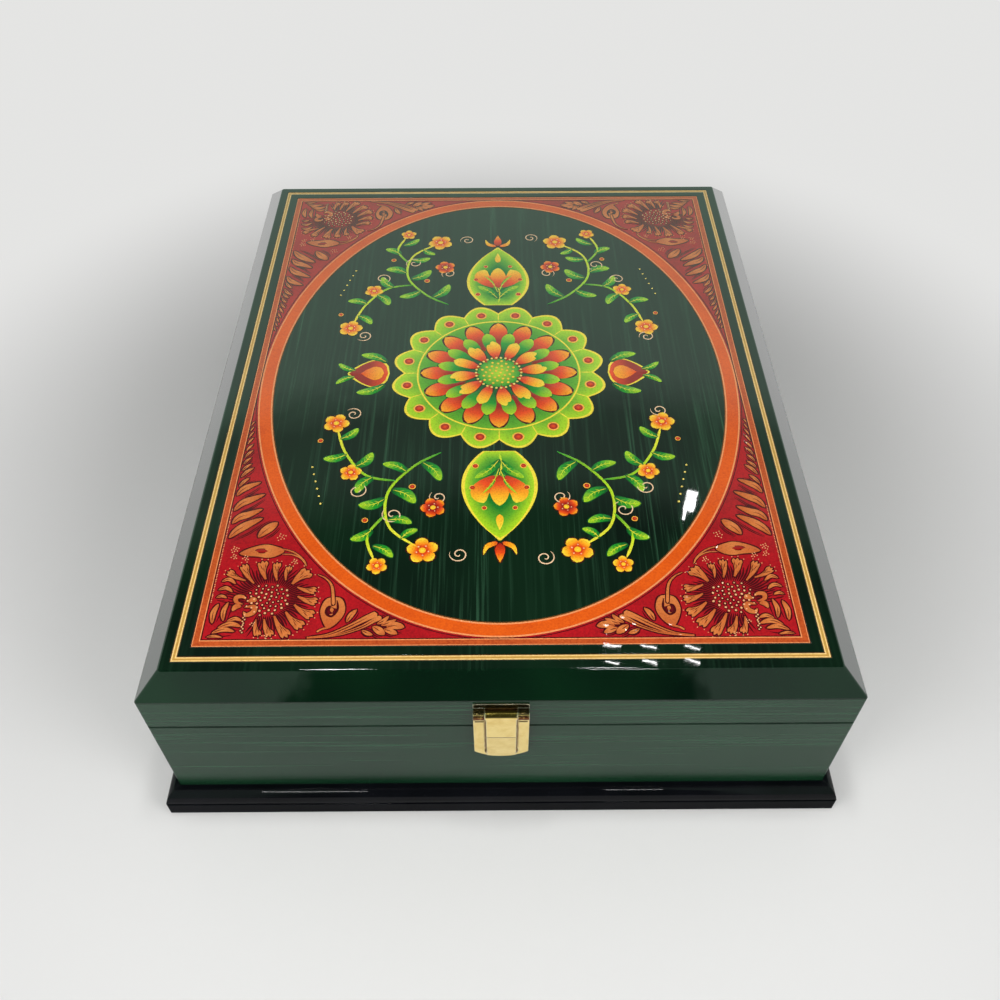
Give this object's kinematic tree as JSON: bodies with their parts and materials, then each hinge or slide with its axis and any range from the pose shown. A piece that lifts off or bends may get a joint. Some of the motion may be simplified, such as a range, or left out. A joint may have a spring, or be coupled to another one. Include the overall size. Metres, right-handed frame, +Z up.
{
  "type": "lacquered wooden box",
  "caption": "Rectangular lacquered wooden box with a bevelled, hinged lid framed by inlaid bands and an oval, a brass front latch and a moulded plinth.",
  "frame": {"origin": "under the middle of the closed box, on the surface it stands on", "axes": "+X to the right and +Z up; +Y to the back, so the latch side faces -Y"},
  "size_m": [0.3554, 0.4494, 0.1135],
  "materials": {
    "green_lacquer": "high gloss lacquer",
    "black_lacquer": "high gloss lacquer",
    "plain_wood": "bare, unfinished",
    "velvet": "matt pile",
    "gold_line": "painted, under gloss lacquer",
    "orange_border": "painted, under gloss lacquer",
    "red_ground": "painted, under gloss lacquer",
    "orange_ring": "painted, under gloss lacquer",
    "dark_field": "high gloss lacquer",
    "hinge_brass": "polished",
    "latch_brass": "polished",
    "screw_brass": "polished"
  },
  "bodies": {
    "base": {"base_front_wall": "green_lacquer", "base_back_wall": "green_lacquer", "base_left_wall": "green_lacquer", "base_right_wall": "green_lacquer", "plinth_front": "black_lacquer", "plinth_back": "black_lacquer", "plinth_left": "black_lacquer", "plinth_right": "black_lacquer", "bottom_board": "plain_wood", "floor_lining": "velvet", "hinge_left_base_leaf": "hinge_brass", "hinge_right_base_leaf": "hinge_brass", "hinge_pins": "hinge_brass", "hinge_base_screws": "hinge_brass", "latch_catch": "latch_brass", "latch_catch_screws": "screw_brass"},
    "lid": {"lid_front_rail": "green_lacquer", "lid_back_rail": "green_lacquer", "lid_left_rail": "green_lacquer", "lid_right_rail": "green_lacquer", "lid_top_board": "green_lacquer", "lid_lining": "velvet", "picture_gold_line": "gold_line", "picture_orange_border": "orange_border", "picture_corner_ground": "red_ground", "picture_oval_ring": "orange_ring", "picture_oval_field": "dark_field", "hinge_left_lid_leaf": "hinge_brass", "hinge_right_lid_leaf": "hinge_brass", "hinge_lid_screws": "hinge_brass", "latch_lid_plate": "latch_brass", "latch_plate_screws": "screw_brass", "latch_pin": "latch_brass"},
    "latch_flap": {"latch_flap": "latch_brass"}
  },
  "joints": [
    {"name": "lid_hinge", "type": "hinge", "parent": "base", "child": "lid", "pos_m": [0, 0.2199, 0.0804], "axis": [-1, 0, 0], "range_deg": [0, 100]},
    {"name": "latch_hinge", "type": "hinge", "parent": "lid", "child": "latch_flap", "pos_m": [0, -0.2204, 0.0962], "axis": [-1, 0, 0], "range_deg": [0, 110]}
  ]
}
